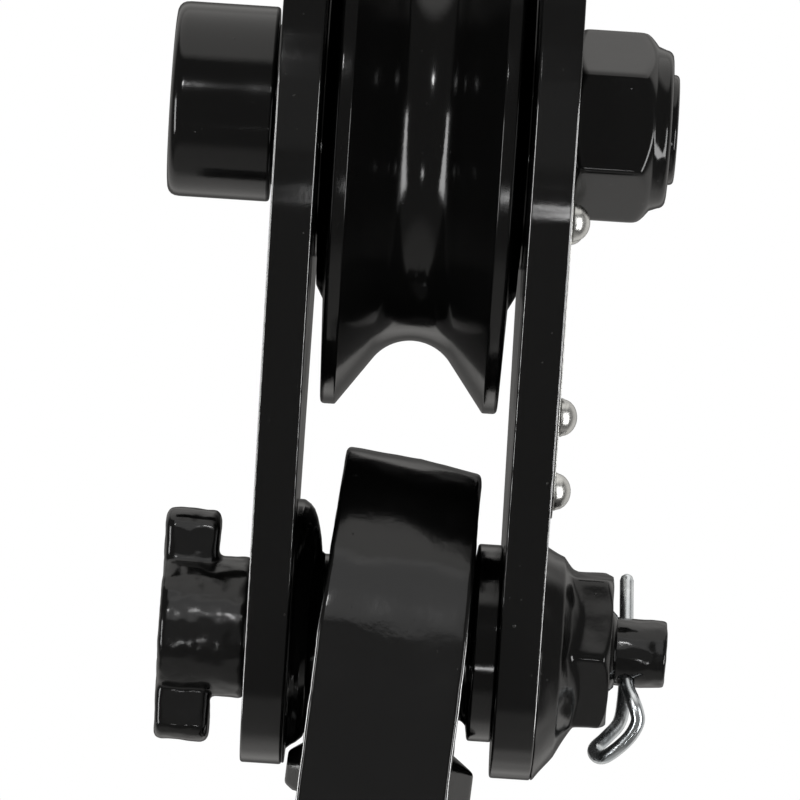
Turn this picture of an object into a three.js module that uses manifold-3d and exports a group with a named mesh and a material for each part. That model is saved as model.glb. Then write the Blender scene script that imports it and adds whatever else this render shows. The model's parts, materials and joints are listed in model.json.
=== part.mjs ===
// A snatch block: a grooved sheave between two cheek plates, with a swivel hook on a removable lock bolt.
// Millimetres. +X runs along the sheave's axle towards its nut, +Z points away from the hook,
// and the origin is the middle of the axle, halfway between the cheeks.
import * as THREE from "three";
import { mergeVertices } from "three/addons/utils/BufferGeometryUtils.js";
import Module from "manifold-3d";

const wasm = await Module();
wasm.setup();

// ---- Driving dimensions ----
const ROUND = 36; // sides of a turned piece
const RUNNING = 0.05; // radial clearance of a shaft, and the gap between two faces that meet

const CHEEK_INNER = 17.9; // from the middle plane to a cheek's inner face
const CHEEK_THICK = 7.1;
const CHEEK_OUTER = CHEEK_INNER + CHEEK_THICK;
const CHEEK_HEAD_R = 56.8; // round end about the axle
const CHEEK_FOOT_R = 23.1; // round end about the lock bolt
const BOLT_DROP = 90.2; // from the axle down to the lock bolt

const AXLE_R = 9.5;
const AXLE_HEAD_R = 16.8;
const AXLE_HEAD_LENGTH = 17.7;
const HEAD_WASHER_R = 13.8;
const HEAD_WASHER_THICK = 1.1;
const AXLE_END = 43.0;

const NUT_CORNER_R = 16.4;
const NUT_HEX_END = 39.1;
const NUT_END = 41.9;
const NUT_COLLAR_R = 14.0;
const LOCK_RING_R = 12.0;
const LOCK_RING_START = 39.4;
const LOCK_RING_END = 41.0;

const SHEAVE_R = 50.8;
const GROOVE_R = 39.1; // from the axle to the bottom of the groove
const GROOVE_ARC_R = 8.2;
const GROOVE_FLANK = THREE.MathUtils.degToRad(56);
const RIM_HALF = 15.2;
const LAND_INNER = 12.7;
const HUB_R = 32.9;
const HUB_FACE_R = 30.5;
const HUB_HALF = 17.2;
const WEB_HALF = 15.9;
const BUSH_R = 12.5;
const THRUST_WASHER_R = 25.8;

const LOCK_R = 5.85;
const LOCK_END = 47.0;
const LOCK_HUB_R = 12.2;
const LOCK_HUB_END = -40.2;
const EAR_REACH = 20.0; // from the bolt's axis to the end of an ear
const EAR_LENGTH = 9.4;
const EAR_HALF_WIDTH = 5.5;

const BOSS_CORNER_R = 14.5;
const BOSS_HEX_END = 37.2;
const BOSS_TURN = THREE.MathUtils.degToRad(4.1);
// The boss's flared foot: distance from the middle plane, ring radius, and how far the ring's centre drops.
const BOSS_FOOT = [
  [CHEEK_OUTER + RUNNING, 20.3, 2.5],
  [28.6, 17.3, 1.2],
  [30.2, 14.7, 1.0],
  [31.9, 12.5, 0.3],
];

const SLEEVE_R = 13.6; // the two half sleeves on which the bail bears
const OPENING_FLANGE = [ // a dome that stays clear of the swivel nut: distance from the cheek, radius
  [0, 22.9],
  [0.45, 22.7],
  [0.55, 20.3],
  [1.25, 19.8],
  [2.25, 19.2],
  [3.25, 18.3],
  [3.85, 16.5],
  [4.45, 14.3],
];
const FIXED_FLANGE_R = 17.0;

const BAIL_LEAN = THREE.MathUtils.degToRad(3.6);
const BAIL_OFFSET = -0.25;
const BAIL_HALF_WIDTH = 12.75;
const BAIL_OUTER_R = 30.6;
const BAIL_INNER_R = 18.4;
const BAIL_SEAT = -29.3; // top of the cross-piece, below the lock bolt's axis
const BAIL_BOTTOM = -43.5;
const BAIL_CORNER_R = 15;
const BAIL_INNER_CORNER_R = 2.5;
const BAIL_EDGE_R = 2.2;
const BAIL_CROWN_TAPER = 0.06; // share of its width that the crown loses at the top
const BAIL_CROWN_SLOPE = 0.075;

const SWIVEL_OFFSET = 0.6; // the swivel's axis, from the bail's middle
const SHANK_R = 7.9;
const SWIVEL_NUT_R = 16.3;
const SWIVEL_NUT_TOP = -18.3;
const SWIVEL_NUT_FOOT = -28.2;
const SWIVEL_NUT_FACE_R = 11.3;
const SWIVEL_WASHER_R = 13.5;
const HOOK_COLLAR_R = 12.5;
const HOOK_COLLAR_END = -48.5;
const ROLL_PIN_R = 1.5;
const ROLL_PIN_DROP = -24.6;
const ROLL_PIN_HALF = 14.0;

// The hook's middle line: y, z, half thickness in the hook's plane, half thickness across it.
const HOOK_LINE = [
  [0, -46.5, 9.5, 9.2],
  [-1, -53, 9.5, 9.0],
  [-8, -60.5, 9.5, 9.0],
  [-18, -69, 10.0, 9.0],
  [-25, -80, 10.5, 9.5],
  [-26.5, -92, 11.0, 10.0],
  [-21, -104, 11.5, 10.5],
  [-10, -112, 12.0, 11.0],
  [3, -113.5, 11.5, 10.5],
  [15, -109, 10.5, 10.0],
  [23.5, -100, 9.5, 9.0],
  [27.5, -89, 8.0, 7.8],
  [29, -79, 6.5, 6.5],
  [31, -71, 5.0, 5.0],
  [32.2, -67.4, 2.8, 2.8],
];
const HOOK_RINGS = 26;
const HOOK_SIDES = 16;

const LATCH_PIVOT = [11.5, -55.5]; // y, z
const LATCH_DIRECTION = THREE.MathUtils.degToRad(-74); // from the pivot to the free end, in the y-z plane
const LATCH_LENGTH = 25;
const LATCH_EAR_INNER = 5.6;
const LATCH_EAR_OUTER = 6.8;
const LATCH_EAR_R = 3.8;
const LATCH_WEB = [2.2, 3.6]; // the web's two faces, measured outwards from the pivot
const LUG_HALF = 2.6;
const LUG_R = 4.0;
const LATCH_PIN_R = 1.5;
const LATCH_PIN_HEAD_R = 2.6;
const LATCH_PIN_HALF = 8.0;
const LATCH_SPRING_R = 2.5;
const LATCH_SPRING_WIRE_R = 0.45;

const CLIP_WIRE_R = 1.2;
const CLIP_FREE = 0.45; // how much larger the bolt's cross hole is than the wire, in radius
const CLIP_X = 40.2;
const CLIP_TILT = THREE.MathUtils.degToRad(55); // the cross hole, from the horizontal
// The clip's middle line below and behind the bolt: x, y, z from the lock bolt's axis at CLIP_X.
const CLIP_LINE = [
  [-0.5, 7.9, 12.3],
  [-0.3, 4.5, 6.9],
  [0, 0, 0],
  [0.4, -3.5, -5.4],
  [1.4, -5.3, -7.9],
  [2.2, -6.0, -9.8],
  [2.5, -6.0, -11.6],
  [1.5, -5.6, -14.0],
  [-0.6, -4.9, -16.4],
  [-2.8, -3.4, -18.1],
  [-4.1, -1.2, -18.0],
  [-4.3, 0.9, -16.9],
  [-2.5, 3.0, -15.1],
  [-0.3, 5.4, -12.4],
  [0.3, 7.6, -8.6],
  [0.4, 8.7, -3.6],
  [0.4, 8.4, 0.6],
];

const PLATE_THICK = 0.85;
const PLATE_TOP = -13.6;
const PLATE_TOP_HALF = 20.5;
const PLATE_ARC_R = 19.2;
const PLATE_SHOULDER = -52;
const PLATE_SHOULDER_HALF = 16.5;
const PLATE_BOTTOM = -68;
const PLATE_BOTTOM_HALF = 6;
const RIVET_R = 3.3;
const RIVET_HEIGHT = 2.9;
// Rivet places on the rating plate: y, z.
const RIVETS = [
  [-16.5, -17.4],
  [16.5, -17.4],
  [-12.6, -50.6],
  [12.6, -50.6],
  [0, -63.4],
];

// ---- Shape helpers ----
const ALONG_X = new THREE.Matrix4().makeBasis(
  new THREE.Vector3(0, 1, 0),
  new THREE.Vector3(0, 0, 1),
  new THREE.Vector3(1, 0, 0),
);

// A closed three.js geometry as a solid, with its faces turned outwards.
function solidOf(geometry) {
  const bare = geometry.index ? geometry.toNonIndexed() : geometry.clone();
  bare.deleteAttribute("normal");
  bare.deleteAttribute("uv");
  const merged = mergeVertices(bare, 1e-4);
  const triVerts = new Uint32Array(merged.index.array);
  const vertProperties = merged.attributes.position.array;
  const made = new wasm.Manifold(new wasm.Mesh({ numProp: 3, vertProperties, triVerts }));
  if (made.volume() > 0) return made;
  for (let i = 0; i < triVerts.length; i += 3) {
    [triVerts[i + 1], triVerts[i + 2]] = [triVerts[i + 2], triVerts[i + 1]];
  }
  return new wasm.Manifold(new wasm.Mesh({ numProp: 3, vertProperties, triVerts }));
}

// A solid as a three.js geometry.
function geometryOf(solid) {
  const { vertProperties, triVerts, numProp } = solid.getMesh();
  const positions = new Float32Array((vertProperties.length / numProp) * 3);
  for (let i = 0; i < positions.length / 3; i++) {
    positions.set(vertProperties.subarray(i * numProp, i * numProp + 3), i * 3);
  }
  const geometry = new THREE.BufferGeometry();
  geometry.setAttribute("position", new THREE.BufferAttribute(positions, 3));
  geometry.setIndex([...triVerts]);
  geometry.computeVertexNormals();
  return geometry;
}

// A profile of [x, radius] points that closes on itself, turned about an axis along X.
// at is where that axis is, in y and z.
function turned(profile, sides = ROUND, at = [0, 0]) {
  const points = [...profile, profile[0]].map(([x, r]) => new THREE.Vector2(r, x));
  return solidOf(new THREE.LatheGeometry(points, sides).rotateZ(-Math.PI / 2).translate(0, ...at));
}

function rod(x0, x1, radius, sides = ROUND, at = [0, 0]) {
  return turned([[x0, 0], [x0, radius], [x1, radius], [x1, 0]], sides, at);
}

function ring(x0, x1, inner, outer) {
  return turned([[x0, inner], [x0, outer], [x1, outer], [x1, inner]]);
}

// A flat outline in the y-z plane, extruded from x0 to x1. edge rounds its rims within the outline.
function plateGeometry(shape, x0, x1, edge = 0) {
  return new THREE.ExtrudeGeometry(shape, {
    depth: x1 - x0 - 2 * edge,
    curveSegments: 12,
    bevelEnabled: edge > 0,
    bevelThickness: edge,
    bevelSize: edge,
    bevelOffset: -edge,
    bevelSegments: 2,
  })
    .translate(0, 0, x0 + edge)
    .applyMatrix4(ALONG_X);
}

const plate = (...sizes) => solidOf(plateGeometry(...sizes));

// A hexagonal outline. turn is the angle of its first corner from -Y towards -Z.
function hexagon(cornerRadius, turn) {
  const shape = new THREE.Shape();
  for (let i = 0; i < 6; i++) {
    const angle = turn + (i * Math.PI) / 3;
    shape[i ? "lineTo" : "moveTo"](-cornerRadius * Math.cos(angle), -cornerRadius * Math.sin(angle));
  }
  return shape;
}

// A profile of [radius, z] points turned about the Z axis.
function spun(profile, sides = ROUND) {
  const points = [...profile, profile[0]].map(([r, z]) => new THREE.Vector2(r, z));
  return solidOf(new THREE.LatheGeometry(points, sides).rotateX(Math.PI / 2));
}

// A skin over rings of equal point count, closed at both ends.
function skin(rings) {
  const sides = rings[0].length;
  const positions = [];
  const push = (...points) => points.forEach((p) => positions.push(p.x, p.y, p.z));
  for (let i = 0; i + 1 < rings.length; i++) {
    for (let j = 0; j < sides; j++) {
      const k = (j + 1) % sides;
      push(rings[i][j], rings[i + 1][j], rings[i + 1][k]);
      push(rings[i][j], rings[i + 1][k], rings[i][k]);
    }
  }
  for (const [end, order] of [[rings[0], 1], [rings.at(-1), -1]]) {
    const middle = end.reduce((sum, p) => sum.add(p), new THREE.Vector3()).divideScalar(sides);
    for (let j = 0; j < sides; j++) {
      const k = (j + 1) % sides;
      if (order > 0) push(middle, end[j], end[k]);
      else push(middle, end[k], end[j]);
    }
  }
  const geometry = new THREE.BufferGeometry();
  geometry.setAttribute("position", new THREE.Float32BufferAttribute(positions, 3));
  return solidOf(geometry);
}

// A round wire along a smooth curve through points.
function wire(points, radius, steps, sides = 10) {
  const circle = new THREE.Shape();
  circle.absarc(0, 0, radius, 0, 2 * Math.PI);
  const curve = new THREE.CatmullRomCurve3(points.map((p) => new THREE.Vector3(...p)), false, "centripetal");
  const geometry = new THREE.ExtrudeGeometry(circle, {
    steps,
    curveSegments: sides / 2,
    extrudePath: curve,
    bevelEnabled: false,
  });
  return solidOf(geometry);
}

// ---- Pieces on the axle ----
function cheek(side) {
  const tilt = Math.asin((CHEEK_HEAD_R - CHEEK_FOOT_R) / BOLT_DROP);
  const outline = new THREE.Shape();
  outline.absarc(0, 0, CHEEK_HEAD_R, -tilt, Math.PI + tilt);
  outline.absarc(0, -BOLT_DROP, CHEEK_FOOT_R, Math.PI + tilt, 2 * Math.PI - tilt);
  const [x0, x1] = side > 0 ? [CHEEK_INNER, CHEEK_OUTER] : [-CHEEK_OUTER, -CHEEK_INNER];
  return plate(outline, x0, x1)
    .subtract(rod(x0 - 1, x1 + 1, AXLE_R + RUNNING))
    .subtract(rod(x0 - 1, x1 + 1, LOCK_R + RUNNING, ROUND, [0, -BOLT_DROP]));
}

function sheave() {
  const half = [
    [HUB_HALF, BUSH_R],
    [HUB_HALF, HUB_FACE_R],
    [WEB_HALF, HUB_R],
    [RIM_HALF, SHEAVE_R - 0.9],
    [RIM_HALF - 0.3, SHEAVE_R - 0.2],
    [RIM_HALF - 0.9, SHEAVE_R],
    [LAND_INNER + 0.4, SHEAVE_R],
    [LAND_INNER - 0.2, SHEAVE_R - 0.5],
  ];
  const arcSteps = 5;
  for (let i = arcSteps; i > 0; i--) {
    const angle = (GROOVE_FLANK * i) / arcSteps;
    half.push([GROOVE_ARC_R * Math.sin(angle), GROOVE_R + GROOVE_ARC_R * (1 - Math.cos(angle))]);
  }
  const otherHalf = half.map(([x, r]) => [-x, r]).reverse();
  return turned([...half, [0, GROOVE_R], ...otherHalf], 48);
}

function axleBolt() {
  const headEnd = -(CHEEK_OUTER + HEAD_WASHER_THICK + 2 * RUNNING);
  const head0 = headEnd - AXLE_HEAD_LENGTH;
  const fillet = 1.6;
  const chamfer = 1.1;
  return turned([
    [head0, 0],
    [head0, AXLE_HEAD_R - fillet],
    [head0 + 0.3 * fillet, AXLE_HEAD_R - 0.3 * fillet],
    [head0 + fillet, AXLE_HEAD_R],
    [headEnd - chamfer, AXLE_HEAD_R],
    [headEnd, AXLE_HEAD_R - chamfer],
    [headEnd, AXLE_R],
    [AXLE_END - chamfer, AXLE_R],
    [AXLE_END, AXLE_R - chamfer],
    [AXLE_END, 0],
  ]);
}

function axleNut() {
  const start = CHEEK_OUTER + RUNNING;
  const chamfered = turned([
    [start, 0],
    [start, NUT_CORNER_R - 1.4],
    [start + 0.8, NUT_CORNER_R],
    [NUT_HEX_END - 1.2, NUT_CORNER_R],
    [NUT_HEX_END, NUT_COLLAR_R],
    [NUT_HEX_END, 0],
  ]);
  const collar = turned([
    [NUT_HEX_END - 1, 0],
    [NUT_HEX_END - 1, NUT_COLLAR_R],
    [NUT_END - 2.6, NUT_COLLAR_R],
    [NUT_END - 1.0, NUT_COLLAR_R - 0.9],
    [NUT_END - 0.2, NUT_COLLAR_R - 2.2],
    [NUT_END, NUT_COLLAR_R - 3.0],
    [NUT_END, 0],
  ]);
  return plate(hexagon(NUT_CORNER_R, Math.PI / 6), start, NUT_HEX_END)
    .intersect(chamfered)
    .add(collar)
    .subtract(rod(start - 1, NUT_END + 1, AXLE_R + RUNNING))
    .subtract(rod(LOCK_RING_START, LOCK_RING_END, LOCK_RING_R));
}

// ---- Pieces on the lock bolt, made about its axis ----
// The cross hole near the bolt's end that takes the clip.
function clipHole(radius) {
  const reach = 20;
  const hole = new THREE.CylinderGeometry(radius, radius, 2 * reach, 16);
  return solidOf(hole.rotateX(CLIP_TILT).translate(CLIP_X, 0, 0));
}

function lockBolt() {
  const hubEnd = -(CHEEK_OUTER + 2 * RUNNING);
  const shank = turned([
    [LOCK_HUB_END, 0],
    [LOCK_HUB_END, LOCK_HUB_R - 1],
    [LOCK_HUB_END + 1, LOCK_HUB_R],
    [hubEnd - 0.6, LOCK_HUB_R],
    [hubEnd, LOCK_HUB_R - 0.6],
    [hubEnd, LOCK_R],
    [LOCK_END - 0.5, LOCK_R],
    [LOCK_END, LOCK_R - 0.5],
    [LOCK_END, 0],
  ]);
  const outline = new THREE.Shape();
  outline.absarc(0, EAR_REACH - EAR_HALF_WIDTH, EAR_HALF_WIDTH, 0, Math.PI);
  outline.absarc(0, EAR_HALF_WIDTH - EAR_REACH, EAR_HALF_WIDTH, Math.PI, 2 * Math.PI);
  const ears = plate(outline, LOCK_HUB_END, LOCK_HUB_END + EAR_LENGTH, 1.5);
  return shank.add(ears).subtract(clipHole(CLIP_WIRE_R + CLIP_FREE));
}

function boltBoss() {
  const rings = BOSS_FOOT.map(([x, radius, drop]) =>
    Array.from({ length: ROUND }, (_, i) => {
      const angle = (2 * Math.PI * i) / ROUND;
      return new THREE.Vector3(x, radius * Math.cos(angle), radius * Math.sin(angle) - drop);
    }),
  );
  const chamfered = turned([
    [BOSS_FOOT[1][0], 0],
    [BOSS_FOOT[1][0], BOSS_CORNER_R],
    [BOSS_HEX_END - 1.0, BOSS_CORNER_R],
    [BOSS_HEX_END, BOSS_CORNER_R - 1.6],
    [BOSS_HEX_END, 0],
  ]);
  const hex = plate(hexagon(BOSS_CORNER_R, BOSS_TURN), BOSS_FOOT[1][0], BOSS_HEX_END).intersect(chamfered);
  const neck = turned([
    [BOSS_HEX_END - 1, 0],
    [BOSS_HEX_END - 1, LOCK_R + 1.2],
    [BOSS_HEX_END + 0.4, LOCK_R + 1.1],
    [BOSS_HEX_END + 1.1, LOCK_R + 0.4],
    [BOSS_HEX_END + 1.1, 0],
  ]);
  const bore = rod(CHEEK_OUTER - 1, BOSS_HEX_END + 2, LOCK_R + RUNNING);
  return skin(rings).add(hex).add(neck).subtract(bore);
}

// The half sleeve on the opening cheek, with a domed flange.
function openingSleeve() {
  const x0 = -(CHEEK_INNER - RUNNING);
  return turned([
    [x0, LOCK_R + RUNNING],
    ...OPENING_FLANGE.map(([depth, r]) => [x0 + depth, r]),
    [x0 + 5, SLEEVE_R],
    [-RUNNING, SLEEVE_R],
    [-RUNNING, LOCK_R + RUNNING],
  ]);
}

// The half sleeve on the fixed cheek, with a flat flange and a hollow fillet.
function fixedSleeve() {
  const x0 = CHEEK_INNER - RUNNING;
  return turned([
    [RUNNING, LOCK_R + RUNNING],
    [RUNNING, SLEEVE_R],
    [x0 - 5.2, SLEEVE_R],
    [x0 - 4.3, SLEEVE_R + 0.5],
    [x0 - 3.8, SLEEVE_R + 1.6],
    [x0 - 3.6, FIXED_FLANGE_R],
    [x0, FIXED_FLANGE_R],
    [x0, LOCK_R + RUNNING],
  ]);
}

// ---- The rating plate ----
function ratingPlate() {
  const outline = new THREE.Shape();
  const arcStart = Math.asin(PLATE_TOP / PLATE_ARC_R);
  outline.moveTo(PLATE_TOP_HALF, PLATE_TOP);
  outline.absarc(0, 0, PLATE_ARC_R, arcStart, Math.PI - arcStart - 2 * Math.PI, true);
  outline.lineTo(-PLATE_TOP_HALF, PLATE_TOP);
  outline.lineTo(-PLATE_SHOULDER_HALF, PLATE_SHOULDER);
  outline.quadraticCurveTo(-PLATE_SHOULDER_HALF + 1, PLATE_BOTTOM + 3, -PLATE_BOTTOM_HALF, PLATE_BOTTOM);
  outline.lineTo(PLATE_BOTTOM_HALF, PLATE_BOTTOM);
  outline.quadraticCurveTo(PLATE_SHOULDER_HALF - 1, PLATE_BOTTOM + 3, PLATE_SHOULDER_HALF, PLATE_SHOULDER);
  return plate(outline, CHEEK_OUTER + RUNNING, CHEEK_OUTER + RUNNING + PLATE_THICK);
}

function rivet() {
  const face = CHEEK_OUTER + 2 * RUNNING + PLATE_THICK;
  const steps = 5;
  const dome = [[face, 0]];
  for (let i = 0; i <= steps; i++) {
    const angle = (i * Math.PI) / 2 / steps;
    dome.push([face + RIVET_HEIGHT * Math.sin(angle), i === steps ? 0 : RIVET_R * Math.cos(angle)]);
  }
  return turned(dome, 24);
}

// ---- What hangs on the lock bolt, made with the bolt's axis through its origin ----
function bail() {
  const r = BAIL_OUTER_R;
  const corner = BAIL_CORNER_R;
  const outline = new THREE.Shape();
  outline.absarc(0, 0, r, 0, Math.PI);
  outline.absarc(corner - r, BAIL_BOTTOM + corner, corner, Math.PI, 1.5 * Math.PI);
  outline.absarc(r - corner, BAIL_BOTTOM + corner, corner, 1.5 * Math.PI, 2 * Math.PI);
  const inner = BAIL_INNER_R;
  const small = BAIL_INNER_CORNER_R;
  const window = new THREE.Path();
  window.absarc(0, 0, inner, 0, Math.PI);
  window.absarc(small - inner, BAIL_SEAT + small, small, Math.PI, 1.5 * Math.PI);
  window.absarc(inner - small, BAIL_SEAT + small, small, 1.5 * Math.PI, 2 * Math.PI);
  outline.holes.push(window);
  const loop = plateGeometry(outline, -BAIL_HALF_WIDTH, BAIL_HALF_WIDTH, BAIL_EDGE_R);
  const places = loop.attributes.position;
  for (let i = 0; i < places.count; i++) {
    const [x, z] = [places.getX(i), places.getZ(i)];
    const up = Math.max(z, 0) / BAIL_OUTER_R;
    places.setX(i, BAIL_OFFSET + x * (1 - BAIL_CROWN_TAPER * up));
    places.setZ(i, z - BAIL_CROWN_SLOPE * x * up * up);
  }
  const bore = new THREE.CylinderGeometry(SHANK_R + 0.1, SHANK_R + 0.1, 30, ROUND);
  bore.rotateX(Math.PI / 2).translate(SWIVEL_OFFSET, 0, (BAIL_SEAT + BAIL_BOTTOM) / 2);
  return solidOf(loop).subtract(solidOf(bore));
}

// ---- The swivel and the hook, made with the swivel's axis along Z through their origin ----
function rollPin(radius, half) {
  const pin = new THREE.CylinderGeometry(radius, radius, 2 * half, 16);
  return solidOf(pin.translate(0, 0, ROLL_PIN_DROP));
}

function swivelNut() {
  const chamfered = spun([
    [0, SWIVEL_NUT_TOP],
    [SWIVEL_NUT_FACE_R, SWIVEL_NUT_TOP],
    [SWIVEL_NUT_R, SWIVEL_NUT_TOP - 3.8],
    [SWIVEL_NUT_R, SWIVEL_NUT_FOOT + 1],
    [SWIVEL_NUT_R - 1.6, SWIVEL_NUT_FOOT],
    [0, SWIVEL_NUT_FOOT],
  ]);
  const prism = plateGeometry(hexagon(SWIVEL_NUT_R + 0.02, Math.PI / 2), SWIVEL_NUT_FOOT, SWIVEL_NUT_TOP);
  const bore = spun([
    [0, SWIVEL_NUT_FOOT - 1],
    [SHANK_R + RUNNING, SWIVEL_NUT_FOOT - 1],
    [SHANK_R + RUNNING, SWIVEL_NUT_TOP + 1],
    [0, SWIVEL_NUT_TOP + 1],
  ]);
  return solidOf(prism.rotateY(-Math.PI / 2))
    .intersect(chamfered)
    .subtract(bore)
    .subtract(rollPin(ROLL_PIN_R + RUNNING, 20));
}

function swivelWasher() {
  const top = SWIVEL_NUT_FOOT - RUNNING;
  const foot = BAIL_SEAT + RUNNING;
  const bore = SHANK_R + RUNNING;
  return spun([[bore, foot], [SWIVEL_WASHER_R, foot], [SWIVEL_WASHER_R, top], [bore, top]]);
}

// The hook's curved body: rings of an ellipse that follow its middle line.
function hookBody() {
  const line = new THREE.CatmullRomCurve3(HOOK_LINE.map(([y, z]) => new THREE.Vector3(0, y, z)));
  const sizes = new THREE.CatmullRomCurve3(HOOK_LINE.map(([, , a, b]) => new THREE.Vector3(a, b, 0)));
  const across = new THREE.Vector3(1, 0, 0);
  const rings = Array.from({ length: HOOK_RINGS + 1 }, (_, i) => {
    const t = i / HOOK_RINGS;
    const middle = line.getPoint(t);
    const size = sizes.getPoint(t);
    const normal = new THREE.Vector3().crossVectors(across, line.getTangent(t));
    return Array.from({ length: HOOK_SIDES }, (_, j) => {
      const angle = (2 * Math.PI * j) / HOOK_SIDES;
      return middle
        .clone()
        .addScaledVector(normal, size.x * Math.cos(angle))
        .addScaledVector(across, size.y * Math.sin(angle));
    });
  });
  return skin(rings);
}

function hook() {
  const collarTop = BAIL_BOTTOM - RUNNING;
  const shank = spun([
    [0, SWIVEL_NUT_TOP],
    [SHANK_R, SWIVEL_NUT_TOP],
    [SHANK_R, collarTop],
    [HOOK_COLLAR_R - 0.8, collarTop],
    [HOOK_COLLAR_R, collarTop - 0.8],
    [HOOK_COLLAR_R, HOOK_COLLAR_END + 1.5],
    [HOOK_COLLAR_R - 1.5, HOOK_COLLAR_END],
    [0, HOOK_COLLAR_END],
  ]);
  const [py, pz] = LATCH_PIVOT;
  const outline = new THREE.Shape();
  outline.absarc(py, pz, LUG_R, -Math.PI / 2, Math.PI / 2);
  outline.lineTo(0, pz + LUG_R);
  outline.lineTo(0, pz - LUG_R);
  const pivotHole = rod(-LATCH_PIN_HALF, LATCH_PIN_HALF, LATCH_PIN_R + RUNNING, 24, LATCH_PIVOT);
  return shank
    .add(hookBody())
    .add(plate(outline, -LUG_HALF, LUG_HALF))
    .subtract(pivotHole)
    .subtract(rollPin(ROLL_PIN_R + RUNNING, 20));
}

// ---- The latch, made about its pivot and pointing along +Y ----
function hookLatch() {
  const ear = new THREE.Shape();
  ear.absarc(0, 0, LATCH_EAR_R, Math.PI / 2, 1.5 * Math.PI);
  ear.lineTo(7, -LATCH_EAR_R + 0.4);
  ear.lineTo(17, LATCH_WEB[0]);
  ear.lineTo(17, LATCH_WEB[1]);
  ear.lineTo(0, LATCH_EAR_R);
  const web = new THREE.Shape();
  const webStart = LUG_R + 0.8;
  web.moveTo(webStart, LATCH_WEB[0]);
  web.lineTo(LATCH_LENGTH, LATCH_WEB[0]);
  web.lineTo(LATCH_LENGTH, LATCH_WEB[1]);
  web.lineTo(webStart, LATCH_WEB[1]);
  return plate(ear, LATCH_EAR_INNER, LATCH_EAR_OUTER)
    .add(plate(ear, -LATCH_EAR_OUTER, -LATCH_EAR_INNER))
    .add(plate(web, -LATCH_EAR_OUTER, LATCH_EAR_OUTER))
    .subtract(rod(-LATCH_PIN_HALF, LATCH_PIN_HALF, LATCH_PIN_R + RUNNING, 24));
}

function latchPin() {
  const face = LATCH_EAR_OUTER + RUNNING;
  const half = [
    [face, LATCH_PIN_R],
    [face, LATCH_PIN_HEAD_R],
    [face + 0.6, LATCH_PIN_HEAD_R - 0.3],
    [LATCH_PIN_HALF, LATCH_PIN_HEAD_R - 1.2],
    [LATCH_PIN_HALF, 0],
  ];
  const otherHalf = half.map(([x, r]) => [-x, r]).reverse();
  return turned([...otherHalf, ...half], 24);
}

function latchSpring() {
  const turns = 2;
  const perTurn = 12;
  const x0 = LUG_HALF + LATCH_SPRING_WIRE_R + 0.2;
  const x1 = LATCH_EAR_INNER - LATCH_SPRING_WIRE_R - 0.2;
  const points = Array.from({ length: turns * perTurn + 1 }, (_, i) => {
    const angle = (2 * Math.PI * i) / perTurn;
    const x = x0 + ((x1 - x0) * i) / (turns * perTurn);
    return [x, LATCH_SPRING_R * Math.cos(angle), LATCH_SPRING_R * Math.sin(angle)];
  });
  return wire(points, LATCH_SPRING_WIRE_R, turns * 16, 8);
}

// ---- Materials ----
const finish = (color, roughness, metalness) =>
  new THREE.MeshStandardMaterial({ color, roughness, metalness });
const GLOSS_BLACK = finish(0x0b0b0c, 0.16, 0);
const SATIN_BLACK = finish(0x121213, 0.3, 0);
const BRIGHT_ZINC = finish(0xb9bfc2, 0.28, 1);
const ALUMINIUM = finish(0xc4c4c2, 0.35, 1);
const BRONZE = finish(0x9a6b3a, 0.4, 1);
const NYLON = finish(0xd9d6c8, 0.6, 0);

// ---- Assembly ----
const block = new THREE.Group();

function group(parent, x = 0, y = 0, z = 0) {
  const made = new THREE.Group();
  made.position.set(x, y, z);
  parent.add(made);
  return made;
}

function add(parent, name, solid, material) {
  const mesh = new THREE.Mesh(geometryOf(solid), material);
  mesh.name = name;
  parent.add(mesh);
  return mesh;
}

add(block, "fixed_cheek", cheek(1), GLOSS_BLACK);
add(block, "opening_cheek", cheek(-1), GLOSS_BLACK);
add(block, "sheave", sheave(), GLOSS_BLACK);
add(block, "sheave_bushing", ring(-HUB_HALF, HUB_HALF, AXLE_R + RUNNING, BUSH_R - RUNNING), BRONZE);
for (const [name, side] of [["thrust_washer_fixed_side", 1], ["thrust_washer_opening_side", -1]]) {
  const faces = [side * (HUB_HALF + RUNNING), side * (CHEEK_INNER - RUNNING)].sort((a, b) => a - b);
  add(block, name, ring(...faces, AXLE_R + RUNNING, THRUST_WASHER_R), GLOSS_BLACK);
}
add(block, "axle_bolt", axleBolt(), GLOSS_BLACK);
const headWasherFace = -(CHEEK_OUTER + RUNNING);
const headWasher = ring(headWasherFace - HEAD_WASHER_THICK, headWasherFace, AXLE_R + RUNNING, HEAD_WASHER_R);
add(block, "axle_head_washer", headWasher, GLOSS_BLACK);
add(block, "axle_nut", axleNut(), GLOSS_BLACK);
const lockRingFaces = [LOCK_RING_START + RUNNING, LOCK_RING_END - RUNNING];
add(block, "nut_lock_ring", ring(...lockRingFaces, AXLE_R + RUNNING, LOCK_RING_R - RUNNING), NYLON);

add(block, "rating_plate", ratingPlate(), ALUMINIUM);
RIVETS.forEach(([y, z], i) => {
  add(group(block, 0, y, z), `rating_plate_rivet_${i + 1}`, rivet(), ALUMINIUM);
});

const onBolt = group(block, 0, 0, -BOLT_DROP);
add(onBolt, "lock_bolt", lockBolt(), GLOSS_BLACK);
add(onBolt, "bolt_boss", boltBoss(), GLOSS_BLACK);
add(onBolt, "opening_side_sleeve", openingSleeve(), GLOSS_BLACK);
add(onBolt, "fixed_side_sleeve", fixedSleeve(), GLOSS_BLACK);
add(group(onBolt, CLIP_X), "spring_clip", wire(CLIP_LINE, CLIP_WIRE_R, 48, 8), BRIGHT_ZINC);

const leaning = group(onBolt);
leaning.rotation.y = BAIL_LEAN;
add(leaning, "swivel_bail", bail(), GLOSS_BLACK);

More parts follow.
